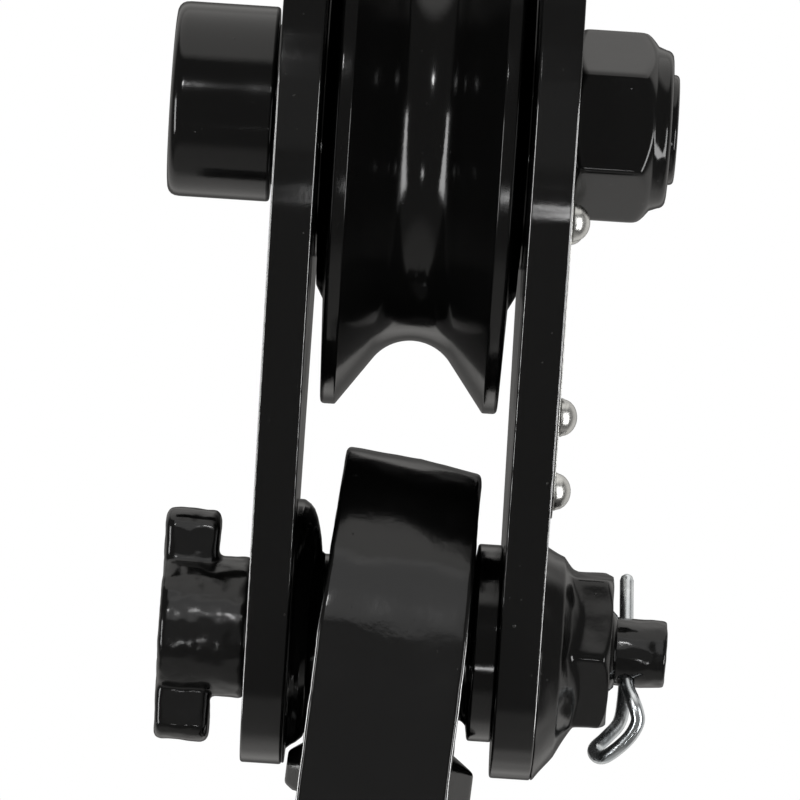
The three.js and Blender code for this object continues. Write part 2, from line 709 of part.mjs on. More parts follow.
const onSwivel = group(leaning, SWIVEL_OFFSET);
add(onSwivel, "swivel_nut", swivelNut(), GLOSS_BLACK);
add(onSwivel, "swivel_washer", swivelWasher(), SATIN_BLACK);
add(onSwivel, "swivel_roll_pin", rollPin(ROLL_PIN_R, ROLL_PIN_HALF), BRIGHT_ZINC);
add(onSwivel, "hook", hook(), GLOSS_BLACK);

const onLatchPin = group(onSwivel, 0, ...LATCH_PIVOT);
add(onLatchPin, "latch_pin", latchPin(), BRIGHT_ZINC);
add(onLatchPin, "latch_spring", latchSpring(), BRIGHT_ZINC);
add(onLatchPin, "hook_latch", hookLatch(), BRIGHT_ZINC).rotation.x = LATCH_DIRECTION;

export default block;
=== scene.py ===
# %% [markdown]
# # A snatch block in gloss black enamel
#
# A snatch block is a pulley that opens: one cheek swings aside, the rope is laid over the sheave,
# and a lock bolt closes the block again. Ours hangs with its swivel hook down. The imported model
# already holds every size, so this lesson makes the fine surfaces around it: rounded edges, worn
# forging skins, thick paint that has flowed before it dried, and bright zinc wire.

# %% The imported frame
import json
import math

import bmesh
import bpy
import numpy as np
from mathutils import Matrix, Vector, noise


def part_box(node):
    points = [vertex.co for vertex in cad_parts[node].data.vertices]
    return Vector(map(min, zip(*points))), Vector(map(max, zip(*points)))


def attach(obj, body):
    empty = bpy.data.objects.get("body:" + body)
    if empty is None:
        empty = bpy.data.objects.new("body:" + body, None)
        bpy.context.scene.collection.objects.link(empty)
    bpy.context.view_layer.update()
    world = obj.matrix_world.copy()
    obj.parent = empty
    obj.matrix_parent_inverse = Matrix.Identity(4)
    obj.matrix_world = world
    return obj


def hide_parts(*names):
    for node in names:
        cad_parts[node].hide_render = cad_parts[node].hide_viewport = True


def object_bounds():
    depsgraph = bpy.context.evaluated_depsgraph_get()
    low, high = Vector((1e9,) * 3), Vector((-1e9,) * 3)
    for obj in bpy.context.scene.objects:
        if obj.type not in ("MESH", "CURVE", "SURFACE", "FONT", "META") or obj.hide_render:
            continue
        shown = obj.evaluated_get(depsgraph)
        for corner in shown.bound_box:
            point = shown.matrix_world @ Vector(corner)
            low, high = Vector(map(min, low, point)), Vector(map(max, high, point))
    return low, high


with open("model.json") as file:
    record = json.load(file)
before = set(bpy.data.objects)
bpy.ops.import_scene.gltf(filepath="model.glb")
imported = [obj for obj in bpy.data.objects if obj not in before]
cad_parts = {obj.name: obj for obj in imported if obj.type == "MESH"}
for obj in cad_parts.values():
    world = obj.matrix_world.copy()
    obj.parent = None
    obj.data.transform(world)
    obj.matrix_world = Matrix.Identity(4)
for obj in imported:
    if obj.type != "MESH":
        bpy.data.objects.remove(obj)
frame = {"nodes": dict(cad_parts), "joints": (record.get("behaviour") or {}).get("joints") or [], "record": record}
cad_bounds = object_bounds()
MM = 0.001

# %% [markdown]
# ## Sizes
#
# A node's box gives its outer faces and radii, and a joint gives its axis, so a fine piece lands
# where the plain one was. What a box can't say, such as a groove's floor or a hidden bore, is typed
# here as the plain part has it. Lengths below are in millimetres.

# %% Faces, radii and axes read from the frame
JOINTS = {joint["name"]: joint for joint in frame["joints"]}


def span(node):
    """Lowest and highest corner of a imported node, in millimetres."""
    low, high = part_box(node)
    return low / MM, high / MM


BOLT_Z = JOINTS["bail_swing"]["pos_m"][2] / MM
SWIVEL_AXIS = Vector(JOINTS["hook_swivel"]["axis"]).normalized()
LEAN = math.atan2(SWIVEL_AXIS.x, SWIVEL_AXIS.z)
AT_BOLT = Matrix.Translation((0, 0, BOLT_Z))
LEANED = AT_BOLT @ Matrix.Rotation(LEAN, 4, "Y")
SWIVEL_POINT = LEANED.inverted() @ (Vector(JOINTS["hook_swivel"]["pos_m"]) / MM)
ON_SWIVEL = LEANED @ Matrix.Translation((SWIVEL_POINT.x, 0, 0))
X_TO_Z = Matrix.Rotation(math.radians(-90), 4, "Y")
print("lock bolt at z", round(BOLT_Z, 2), "mm, lean", round(math.degrees(LEAN), 2), "degrees")

# %% [markdown]
# ## Mesh tools
#
# Most of this block came off a lathe, so one function turns a closed profile about X. Real turned
# edges are never sharp, above all under paint, so `soften` first rounds each corner of a profile.

# %% Rounding the corners of a profile


def soften(points, radii, steps=5, closed=True):
    """The polyline with every corner replaced by a short curve of about the given radius."""
    if isinstance(radii, (int, float)):
        radii = [radii] * len(points)
    points = [Vector(p) for p in points]
    made = []
    for i, here in enumerate(points):
        at_end = not closed and i in (0, len(points) - 1)
        back = points[i - 1] - here
        ahead = points[(i + 1) % len(points)] - here
        if at_end or radii[i] <= 0 or back.length < 1e-9 or ahead.length < 1e-9:
            made.append(here)
            continue
        half = max(back.angle(ahead) / 2, 0.05)
        reach = min(radii[i] / math.tan(half), 0.48 * back.length, 0.48 * ahead.length)
        start, end = here + back.normalized() * reach, here + ahead.normalized() * reach
        for k in range(steps + 1):
            t = k / steps
            made.append(start * (1 - t) ** 2 + here * (2 * t * (1 - t)) + end * t**2)
    return made


# %% Making a mesh object out of points and faces


def mesh_object(name, points, faces, place=None):
    """A smooth-shaded object whose points are millimetres, put in place and turned to metres."""
    mesh = bpy.data.meshes.new(name)
    mesh.from_pydata([tuple(p) for p in points], [], faces)
    mesh.transform(Matrix.Scale(MM, 4) @ (place or Matrix.Identity(4)))
    finish_mesh(mesh)
    made = bpy.data.objects.new(name, mesh)
    bpy.context.scene.collection.objects.link(made)
    return made


def finish_mesh(mesh, merge=1e-7):
    """Merges doubled points, turns every face outwards and shades the mesh smooth."""
    work = bmesh.new()
    work.from_mesh(mesh)
    bmesh.ops.remove_doubles(work, verts=work.verts, dist=merge)
    bmesh.ops.recalc_face_normals(work, faces=work.faces)
    work.to_mesh(mesh)
    work.free()
    mesh.shade_smooth()


def even_shading(piece):
    """Lets the large flat faces set the normals, so that rounded edges stay crisp."""
    weighted = piece.modifiers.new("even shading", "WEIGHTED_NORMAL")
    weighted.keep_sharp = True
    return piece


def skin(rings, closed=False):
    """Points and faces over rings of equal length; an open skin is closed with a fan at each end."""
    count = len(rings[0])
    points = [tuple(p) for ring in rings for p in ring]
    faces = []
    for i in range(len(rings) if closed else len(rings) - 1):
        low, high = i * count, (i + 1) % len(rings) * count
        for j in range(count):
            k = (j + 1) % count
            faces.append((low + j, high + j, high + k, low + k))
    if not closed:
        for first, ring in ((0, rings[0]), (len(points) - count, rings[-1])):
            points.append(tuple(np.mean(np.array(ring, float), axis=0)))
            tip = len(points) - 1
            faces += [(first + j, first + (j + 1) % count, tip) for j in range(count)]
    return points, faces


# %% Turning a profile about X


def turned(name, profile, place=None, sides=160):
    """A closed profile of (x, radius) points turned about X. Points on the axis become poles."""
    points, faces, rings = [], [], []
    for x, radius in profile:
        first = len(points)
        if radius < 1e-6:
            points.append((x, 0, 0))
            rings.append([first] * sides)
            continue
        for j in range(sides):
            angle = 2 * math.pi * j / sides
            points.append((x, radius * math.cos(angle), radius * math.sin(angle)))
        rings.append(range(first, first + sides))
    for low, high in zip(rings, rings[1:] + rings[:1]):
        for j in range(sides):
            k = (j + 1) % sides
            corners = list(dict.fromkeys((low[j], high[j], high[k], low[k])))
            if len(corners) > 2:
                faces.append(corners)
    return even_shading(mesh_object(name, points, faces, place))


# %% [markdown]
# Flat pieces are cut from plate. A filled 2D curve does that in one go: it takes holes, gives the
# thickness, and rounds the edges. A plasma cut is never quite straight, so the outline may waver
# by a few hundredths, which is what breaks the light along a cut edge into small dots.

# %% Cutting a plate


def arc(y, z, radius, start, end, steps=48):
    """Points along an arc in the y-z plane, angles in radians from +Y towards +Z."""
    angles = [start + (end - start) * i / steps for i in range(steps + 1)]
    return [(y + radius * math.cos(a), z + radius * math.sin(a)) for a in angles]


def spaced(outline, step, waver=0.0, length=2.4, seed=0.0):
    """The closed outline at even spacing, each point pushed in or out a little by noise."""
    ring = np.array(outline + outline[:1], float)
    along = np.concatenate([[0], np.cumsum(np.linalg.norm(np.diff(ring, axis=0), axis=1))])
    count = int(along[-1] / step)
    places = np.linspace(0, along[-1], count, endpoint=False)
    even = np.stack([np.interp(places, along, ring[:, i]) for i in (0, 1)], axis=1)
    ahead = np.roll(even, -1, axis=0) - np.roll(even, 1, axis=0)
    normal = np.stack([ahead[:, 1], -ahead[:, 0]], axis=1)
    normal /= np.linalg.norm(normal, axis=1, keepdims=True)
    push = [waver * noise.noise(Vector((y / length, z / length, seed))) for y, z in even]
    return even + normal * np.array(push)[:, None]


def cut_plate(name, outline, holes, x0, x1, edge, place=None, steps=3):
    """A plate in the y-z plane between x0 and x1, with rounded edges."""
    curve = bpy.data.curves.new(name, "CURVE")
    curve.dimensions = "2D"
    curve.fill_mode = "BOTH"
    curve.extrude = (x1 - x0) / 2 - edge
    curve.bevel_depth = edge
    curve.bevel_resolution = steps
    curve.offset = -edge
    for ring in [outline, *holes]:
        spline = curve.splines.new("POLY")
        spline.points.add(len(ring) - 1)
        for point, (y, z) in zip(spline.points, ring):
            point.co = (y, z, 0, 1)
        spline.use_cyclic_u = True
    drawn = bpy.data.objects.new(name, curve)
    bpy.context.scene.collection.objects.link(drawn)
    ready = drawn.evaluated_get(bpy.context.evaluated_depsgraph_get())
    mesh = bpy.data.meshes.new_from_object(ready)
    bpy.data.objects.remove(drawn)
    axes = Matrix(((0, 0, 1, (x0 + x1) / 2), (1, 0, 0, 0), (0, 1, 0, 0), (0, 0, 0, 1)))
    mesh.transform(Matrix.Scale(MM, 4) @ (place or Matrix.Identity(4)) @ axes)
    finish_mesh(mesh, merge=2e-6)
    mesh.name = name
    made = bpy.data.objects.new(name, mesh)
    bpy.context.scene.collection.objects.link(made)
    return even_shading(made)


# %% [markdown]
# Wire is drawn along a smooth curve, and a forging is several simple bodies that flow into each
# other. For a forging we join the bodies by a voxel remesh and smooth it, which leaves the soft
# inner corners that a die and a thick coat of paint give.

# %% Wire, forgings and unevenness


def smooth_path(points, steps):
    """A Catmull-Rom curve through the points, with the given number of steps in each span."""
    points = [Vector(p) for p in points]
    ends = [points[0] * 2 - points[1], *points, points[-1] * 2 - points[-2]]
    made = []
    for a, b, c, d in zip(ends, ends[1:], ends[2:], ends[3:]):
        for i in range(steps):
            t = i / steps
            made.append(
                (b * 2 + (c - a) * t + (a * 2 - b * 5 + c * 4 - d) * t**2
                 + (b * 3 - a - c * 3 + d) * t**3) / 2
            )
    return [*made, points[-1]]


def wire(name, path, radius, place=None, sides=20):
    """A round wire along a path, with rounded ends."""
    path = [Vector(p) for p in path]
    rings = []
    side = (path[1] - path[0]).orthogonal().normalized()
    last = len(path) - 1
    for i, point in enumerate(path):
        ahead = (path[min(i + 1, last)] - path[max(i - 1, 0)]).normalized()
        side = (side - ahead * side.dot(ahead)).normalized()
        up = ahead.cross(side)
        circle = [2 * math.pi * j / sides for j in range(sides)]
        ring = [side * math.cos(a) + up * math.sin(a) for a in circle]
        caps = [(0.0, 1.0)]
        if i in (0, last):
            sign = -1 if i == 0 else 1
            caps = [(sign * radius * math.sin(c), math.cos(c)) for c in np.radians((0, 35, 65, 82))]
            caps = caps[::-1] if i == 0 else caps
        for shift, share in caps:
            rings.append([point + ahead * shift + v * radius * share for v in ring])
    return mesh_object(name, *skin(rings), place)


def forged(name, parts, voxel, smoothing):
    """Several overlapping solids made into one skin, with soft inner corners."""
    for part in parts:
        part.modifiers.clear()
    bpy.ops.object.select_all(action="DESELECT")
    for part in parts:
        part.select_set(True)
    bpy.context.view_layer.objects.active = parts[0]
    bpy.ops.object.join()
    whole = bpy.context.view_layer.objects.active
    whole.name = name
    remesh = whole.modifiers.new("one skin", "REMESH")
    remesh.mode = "VOXEL"
    remesh.voxel_size = voxel * MM
    flow = whole.modifiers.new("soft corners", "SMOOTH")
    flow.factor, flow.iterations = 0.5, smoothing
    bpy.ops.object.modifier_apply(modifier=remesh.name)
    bpy.ops.object.modifier_apply(modifier=flow.name)
    whole.data.shade_smooth()
    return whole


def uneven(piece, *layers):
    """Moves each point along its normal. A layer is (height, wavelength), in millimetres."""
    mesh = piece.data
    moves = []
    for vertex in mesh.vertices:
        place = vertex.co / MM
        moves.append(sum(h * noise.noise(place / size) for h, size in layers) * MM)
    for vertex, normal, move in zip(mesh.vertices, [v.normal.copy() for v in mesh.vertices], moves):
        vertex.co += normal * move
    mesh.update()
    return piece


def drilled(piece, radius, start, end):
    """Cuts a round hole from start to end, points in millimetres in the object's own frame."""
    start, end = Vector(start), Vector(end)
    along = Vector((1, 0, 0)).rotation_difference(end - start).to_matrix().to_4x4()
    length = (end - start).length
    profile = [(0, 0), (0, radius), (length, radius), (length, 0)]
    drill = turned("drill", profile, Matrix.Translation(start) @ along, sides=64)
    cut = piece.modifiers.new("hole", "BOOLEAN")
    cut.operation, cut.solver, cut.object = "DIFFERENCE", "EXACT", drill
    bpy.ops.object.select_all(action="DESELECT")
    bpy.context.view_layer.objects.active = piece
    piece.select_set(True)
    bpy.ops.object.modifier_move_to_index(modifier=cut.name, index=0)
    bpy.ops.object.modifier_apply(modifier=cut.name)
    bpy.data.objects.remove(drill)
    return piece


# %% [markdown]
# ## Materials
#
# Each finish is a Principled shader with a little procedural unevenness. Colours are sRGB hex
# values, and every pattern is scaled from a real size in millimetres. `add` puts one node in a
# tree, with its settings and whatever comes into it.

# %% Colour and node helpers


def colour(code):
    """An sRGB hex value as linear red, green, blue and alpha."""
    parts = [int(code[i : i + 2], 16) / 255 for i in (1, 3, 5)]
    return [c / 12.92 if c <= 0.04045 else ((c + 0.055) / 1.055) ** 2.4 for c in parts] + [1.0]


def add(tree, kind, inputs=None, **settings):
    """One node with its settings. An input is a plain value, or the socket that comes into it."""
    made = tree.nodes.new(kind)
    for key, value in settings.items():
        setattr(made, key, value)
    for key, value in (inputs or {}).items():
        if isinstance(value, bpy.types.NodeSocket):
            tree.links.new(value, made.inputs[key])
        else:
            made.inputs[key].default_value = value
    return made


def new_material(name, **shader):
    """A material with only a Principled shader, its tree, and the object's own coordinates."""
    made = bpy.data.materials.new(name)
    made.use_nodes = True
    tree = made.node_tree
    principled = next(n for n in tree.nodes if n.type == "BSDF_PRINCIPLED")
    for key, value in shader.items():
        principled.inputs[key.replace("_", " ")].default_value = value
    place = add(tree, "ShaderNodeTexCoord").outputs["Object"]
    return made, tree, principled, place


def speckle(tree, place, size_mm, detail=2.0, stretch=None):
    """Noise whose lumps are about size_mm across. stretch squeezes the place first."""
    if stretch:
        place = add(tree, "ShaderNodeMapping", {"Vector": place, "Scale": stretch}).outputs[0]
    inputs = {"Vector": place, "Scale": 1 / (size_mm * MM), "Detail": detail}
    return add(tree, "ShaderNodeTexNoise", inputs).outputs["Fac"]


def ranged(tree, value, low, high, start, end):
    """The value between low and high, turned to start and end."""
    keys = ("Value", "From Min", "From Max", "To Min", "To Max")
    return add(tree, "ShaderNodeMapRange", dict(zip(keys, (value, low, high, start, end)))).outputs[0]


def mixed(tree, share, first, second):
    """From the first colour to the second one as the share goes from 0 to 1."""
    inputs = {0: share, 6: colour(first), 7: colour(second)}
    return add(tree, "ShaderNodeMix", inputs, data_type="RGBA").outputs[2]


def raised(tree, principled, *layers):
    """Bump from (height socket, depth in millimetres) layers, one after the other."""
    normal = None
    for height, depth in layers:
        inputs = {"Height": height, "Distance": depth * MM, "Strength": 1.0}
        if normal:
            inputs["Normal"] = normal
        normal = add(tree, "ShaderNodeBump", inputs).outputs["Normal"]
    tree.links.new(normal, principled.inputs["Normal"])


# %% [markdown]
# ### Gloss black enamel
#
# The steel is dipped or sprayed with a thick black alkyd enamel. It levels well, so reflections
# are sharp, but it keeps a faint orange peel about a millimetre across, slow waves where it ran,
# and here and there a grain of dust under the skin. Enamel has an IOR of about 1.5.

# %% Enamel over plate, over forgings and over cast iron


def black_enamel(name, black, roughness, peel, wave, grain):
    """Black enamel. peel, wave and grain are bump depths in millimetres."""
    made, tree, shader, place = new_material(name, IOR=1.5)
    cloud = speckle(tree, place, 14, 3)
    haze = ranged(tree, cloud, 0.35, 0.7, roughness * 0.75, roughness * 1.35)
    tree.links.new(haze, shader.inputs["Roughness"])
    dust = speckle(tree, place, 0.9, 1)
    specks = ranged(tree, dust, 0.77, 0.82, 0.0, 1.0)
    tree.links.new(mixed(tree, specks, black, "#2a2a29"), shader.inputs["Base Color"])
    raised(
        tree,
        shader,
        (speckle(tree, place, 9, 1), wave),
        (speckle(tree, place, 1.3, 2), peel),
        (specks, grain),
    )
    return made


PLATE_ENAMEL = black_enamel("gloss black enamel on plate", "#0b0b0b", 0.13, 0.012, 0.04, 0.03)
FORGED_ENAMEL = black_enamel("gloss black enamel on a forging", "#0c0c0c", 0.16, 0.02, 0.10, 0.03)
TURNED_ENAMEL = black_enamel("gloss black enamel on turned steel", "#0b0b0b", 0.12, 0.010, 0.03, 0.02)

# %% [markdown]
# ### Bare metals and nylon
#
# The clip is zinc plated spring wire: bright and a little blue, with faint lines from the drawing
# die. The plate and its rivets are aluminium, brushed and lightly dulled. The
# sheave's bush is turned bronze, and the ring that locks the nut is nylon. Metals keep the default IOR.

# %% Zinc, aluminium, bronze and nylon


def bare_metal(name, light, dark, roughness, patch_mm, line_mm, stretch, depth):
    """A metal whose tone drifts between two colours, with fine lines of the given spacing."""
    made, tree, shader, place = new_material(name, Metallic=1.0)
    drift = speckle(tree, place, patch_mm, 3)
    tint = mixed(tree, ranged(tree, drift, 0.35, 0.65, 0.0, 1.0), light, dark)
    tree.links.new(tint, shader.inputs["Base Color"])
    lines = speckle(tree, place, line_mm, 2, stretch)
    tree.links.new(
        ranged(tree, lines, 0.3, 0.7, roughness * 0.7, roughness * 1.3), shader.inputs["Roughness"]
    )
    raised(tree, shader, (lines, depth))
    return made


ZINC_WIRE = bare_metal("zinc plated spring wire", "#e8ecee", "#d0d6da", 0.26, 4, 0.8, (1, 1, 0.15), 0.001)
ZINC_SHEET = bare_metal("zinc plated sheet", "#cfd2d2", "#a5a9aa", 0.3, 5, 0.5, (1, 0.3, 0.3), 0.004)
ALUMINIUM = bare_metal("brushed aluminium", "#dcdcd9", "#c2c2bf", 0.3, 6, 0.3, (1, 0.06, 1), 0.004)
BRONZE = bare_metal("turned bronze", "#b98a55", "#94683a", 0.32, 5, 0.4, (1, 0.4, 0.4), 0.005)


def nylon():
    """Moulded nylon: off-white, soft in its gloss."""
    made, tree, shader, place = new_material("moulded nylon", Base_Color=colour("#d9d5c6"), IOR=1.53)
    tree.links.new(ranged(tree, speckle(tree, place, 1, 2), 0.3, 0.7, 0.4, 0.55), shader.inputs["Roughness"])
    raised(tree, shader, (speckle(tree, place, 0.8, 2), 0.01))
    return made


NYLON = nylon()

# %% [markdown]
# ## Putting a piece on the block
#
# Every piece rides on the body of the node that it stands for, so it moves with that body's joint.

# %% One function that shows a piece

BODY_OF = {
    node: body for body, nodes in frame["record"]["behaviour"]["bodies"].items() for node in nodes
}


def show(piece, material, node):
    """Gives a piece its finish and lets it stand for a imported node."""
    piece.data.materials.clear()
    piece.data.materials.append(material)
    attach(piece, BODY_OF[node])
    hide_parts(node)
    print(piece.name, len(piece.data.vertices), "points")
    return piece


# %% [markdown]
# ## The cheeks
#
# Two teardrop plates, cut by plasma and painted. Their round head follows the sheave and their
# foot the lock bolt, and two straight flanks touch both circles.

# %% Cheeks

INNER, OUTER = span("fixed_cheek")[0].x, span("fixed_cheek")[1].x
HEAD_R = span("fixed_cheek")[1].z
FOOT_R = BOLT_Z - span("fixed_cheek")[0].z
AXLE_END = span("axle_bolt")[1].x
AXLE_R = 9.5
LOCK_R = 5.85
GAP = 0.05


def cheek(node, x0, x1, seed):
    """One cheek plate with its two holes."""
    tilt = math.asin((HEAD_R - FOOT_R) / -BOLT_Z)
    head = arc(0, 0, HEAD_R, -tilt, math.pi + tilt, 200)
    foot = arc(0, BOLT_Z, FOOT_R, math.pi + tilt, 2 * math.pi - tilt, 90)
    outline = spaced(head + foot, 0.7, waver=0.055, seed=seed)
    holes = [arc(0, z, r + GAP, 2 * math.pi, 0, 80)[:-1] for z, r in ((0, AXLE_R), (BOLT_Z, LOCK_R))]
    return show(cut_plate(node + "_painted", outline, holes, x0, x1, 0.45), PLATE_ENAMEL, node)


cheek("fixed_cheek", INNER, OUTER, 3.0)
cheek("opening_cheek", -OUTER, -INNER, 8.0)

# %% [markdown]
# ## The sheave and its bearing
#
# A cast steel wheel with a rope groove. The groove's floor is an arc a little wider than the rope,
# and its flanks open at a steady angle to narrow lands beside the rims.

# %% Sheave, bush and thrust washers

SHEAVE_R = span("sheave")[1].z
HUB_HALF = span("sheave")[1].x
GROOVE_R, ARC_R, FLANK = 39.1, 8.2, math.radians(56)
RIM_HALF, LAND, WEB_HALF, HUB_R = 15.2, 12.7, 15.9, 32.9
BUSH_R = span("sheave_bushing")[1].z + GAP


def sheave():
    """The grooved wheel, turned from half a profile and its mirror image."""
    steps = 12
    groove = []
    for i in range(steps, 0, -1):
        a = FLANK * i / steps
        groove.append((ARC_R * math.sin(a), GROOVE_R + ARC_R * (1 - math.cos(a))))
    side = [(HUB_HALF, BUSH_R), (HUB_HALF, HUB_R - 2.4), (WEB_HALF, HUB_R), (RIM_HALF, SHEAVE_R)]
    side = soften([*side, (LAND, SHEAVE_R), groove[0]], [0.3, 0.6, 1.2, 0.8, 0.5, 0], closed=False)
    half = [tuple(p) for p in side[:-1]] + groove
    mirror = [(-x, r) for x, r in reversed(half)]
    wheel = turned("sheave_painted", half + [(0, GROOVE_R)] + mirror, sides=256)
    return show(wheel, TURNED_ENAMEL, "sheave")


def sleeve_ring(node, material, edge=0.2, sides=128):
    """A plain ring about the axle, with its edges broken."""
    low, high = span(node)
    bore = AXLE_R + GAP
    profile = [(low.x, bore), (low.x, high.z), (high.x, high.z), (high.x, bore)]
    return show(turned(node + "_turned", soften(profile, edge), sides=sides), material, node)


sheave()
sleeve_ring("sheave_bushing", BRONZE)
sleeve_ring("thrust_washer_fixed_side", TURNED_ENAMEL)
sleeve_ring("thrust_washer_opening_side", TURNED_ENAMEL)

# %% [markdown]
# ## The axle, its washer and its nut
#
# The axle has a plain round head and a nut with a nylon lock ring under its dome. A hexagon is
# the smallest of six distances, and taking a *soft* smallest rounds its corners as paint does.

# %% Axle bolt and washer


def axle_bolt():
    low, high = span("axle_bolt")
    face = -(OUTER + 1.1 + 2 * GAP)
    profile = [
        (low.x, 0), (low.x, high.z), (face, high.z), (face, AXLE_R), (AXLE_END, AXLE_R), (AXLE_END, 0),
    ]
    shape = turned("axle_bolt_painted", soften(profile, [0, 2.2, 0.7, 0.1, 0.9, 0]), sides=192)
    return show(shape, TURNED_ENAMEL, "axle_bolt")


axle_bolt()
sleeve_ring("axle_head_washer", TURNED_ENAMEL)

# %% A hexagon with soft corners


def soft_smallest(values, sharpness=3.0):
    """A smallest value whose corners are rounded; a larger sharpness rounds less."""
    values = np.array(values)
    return -np.log(np.sum(np.exp(-sharpness * values), axis=0)) / sharpness


def hexagon_radius(angles, corner, turn, sharpness=3.0):
    """How far a hexagon reaches at each angle. turn is the angle of one of its corners."""
    flat = corner * math.cos(math.pi / 6)
    reach = []
    for i in range(6):
        cosine = np.cos(angles - turn - math.pi / 6 - i * math.pi / 3)
        reach.append(np.where(cosine > 0.2, flat / np.maximum(cosine, 0.2), 5 * corner))
    return soft_smallest(reach, sharpness)


def radial(name, sections, bore, place=None, sides=288):
    """A body over sections of (x, radii, centre y, centre z), with a round bore through it."""
    angles = np.linspace(0, 2 * math.pi, sides, endpoint=False)
    rings = []

    def ring(x, radii, y=0.0, z=0.0):
        radii = np.broadcast_to(radii, angles.shape)
        ys, zs = y + radii * np.cos(angles), z + radii * np.sin(angles)
        rings.append(np.stack([np.full(sides, x), ys, zs], axis=1))

    ring(sections[0][0], bore)
    for section in sections:
        ring(*section)
    ring(sections[-1][0], bore)
    return even_shading(mesh_object(name, *skin(rings, closed=True), place))


# %% Axle nut


def axle_nut():
    low, high = span("axle_nut")
    angles = np.linspace(0, 2 * math.pi, 288, endpoint=False)
    corner, collar = 16.4, 14.0
    hexagon = hexagon_radius(angles, corner + 0.25, math.pi / 2)
    hex_end = 39.1
    sections = []
    for x in np.linspace(low.x, hex_end, 46):
        washer_face = corner - 1.4 + (x - low.x) * 1.75
        crown = collar + 0.2 + (hex_end - x) * 1.3
        limit = np.full_like(angles, min(washer_face, crown))
        sections.append((x, soft_smallest([hexagon, limit], 1.8)))
    dome = [(hex_end, collar - 0.15), (high.x - 0.2, collar - 0.5), (high.x, collar - 3.2)]
    dome = soften([*dome, (high.x, AXLE_R + GAP)], [0, 4.0, 0.6, 0], closed=False)
    sections += [(p.x, p.y) for p in dome[1:]]
    shape = radial("axle_nut_painted", sections, AXLE_R + GAP)
    return show(shape, TURNED_ENAMEL, "axle_nut")


axle_nut()
frame["nodes"]["nut_lock_ring"].data.materials.clear()
frame["nodes"]["nut_lock_ring"].data.materials.append(NYLON)

# %% [markdown]
# ## The lock bolt
#
# A forged T handle on a plain pin. The handle's hub and its two ears are one forging, so they are
# joined by a remesh and flow into each other. A cross hole near the pin's end takes the clip.

# %% Lock bolt

CLIP_X = 40.2
CLIP_TILT = math.radians(55)


def lock_bolt():
    low, high = span("lock_bolt")
    hub_r, ear_half, ear_length = 12.2, 5.5, 9.4
    reach = high.z - BOLT_Z
    face = -(OUTER + 2 * GAP)
    hub = [(low.x, 0), (low.x, hub_r), (face, hub_r), (face, LOCK_R), (high.x, LOCK_R), (high.x, 0)]
    body = turned("hub", soften(hub, [0, 1.2, 0.8, 0.3, 0.5, 0]), AT_BOLT, sides=96)
    top = arc(0, reach - 3.2, ear_half, 0, math.pi, 24)
    top = [(y, reach - 3.2 + (z - reach + 3.2) * 0.58) for y, z in top]
    outline = top + [(-y, -z) for y, z in top]
    ears = cut_plate("ears", outline, [], low.x, low.x + ear_length, 1.3, AT_BOLT)
    whole = forged("lock_bolt_forged", [body, ears], 0.34, 8)
    uneven(whole, (0.28, 5.0), (0.08, 1.8))
    across = Vector((0, math.cos(CLIP_TILT), math.sin(CLIP_TILT))) * 12
    middle = Vector((CLIP_X, 0, BOLT_Z))
    drilled(whole, 1.6, middle - across, middle + across)
    return show(whole, FORGED_ENAMEL, "lock_bolt")


lock_bolt()

# %% [markdown]
# ## The boss, the sleeves and the clip
#
# The pin leaves the fixed cheek through a hexagon boss, welded on all round before painting. The
# weld is a soft, slightly lumpy flare under the paint. The two half sleeves inside carry the bail.

# %% Boss with its weld


def bolt_boss():
    angles = np.linspace(0, 2 * math.pi, 288, endpoint=False)
    corner, end = 14.5, 37.2
    hexagon = hexagon_radius(angles, corner + 0.25, math.radians(4.1) + math.pi)
    foot = OUTER + GAP
    rings = [(foot, 20.3, 2.5), (28.6, 17.3, 1.2), (30.2, 14.7, 1.0), (31.9, 12.5, 0.3), (34, 8, 0)]
    places, radii, drops = zip(*rings)
    sections = []
    for x in np.linspace(foot, end, 52):
        flare, drop = np.interp(x, places, radii), np.interp(x, places, drops)
        fading = max(places[-1] - x, 0) / (places[-1] - foot)
        lumps = [noise.noise(Vector((3 * math.cos(a), 3 * math.sin(a), 0.2 * x))) for a in angles]
        lobes = 0.6 * np.sin(angles * 3 + 0.7) + 0.7 * np.array(lumps)
        round_weld = flare + fading * lobes - drop * np.sin(angles)
        crown = np.full_like(angles, corner - 1.6 + (end - x) * 1.5)
        hex_here = soft_smallest([hexagon, crown], 4)
        both = -soft_smallest([-hex_here, -round_weld], 1.6)
        limit = 23.0 - 0.2 * (x - foot)
        sections.append((x, np.minimum(both, limit)))
    neck = [(end, 9), (end + 0.1, 7.1), (end + 0.4, 6.9), (end + 1.1, 6.2)]
    neck = soften(neck, [0, 0.4, 0.4, 0], closed=False)
    sections += [(p.x, p.y) for p in neck[1:]]
    shape = radial("bolt_boss_painted", sections, LOCK_R + GAP, AT_BOLT)
    return show(uneven(shape, (0.12, 4.0)), FORGED_ENAMEL, "bolt_boss")


bolt_boss()

# %% Half sleeves


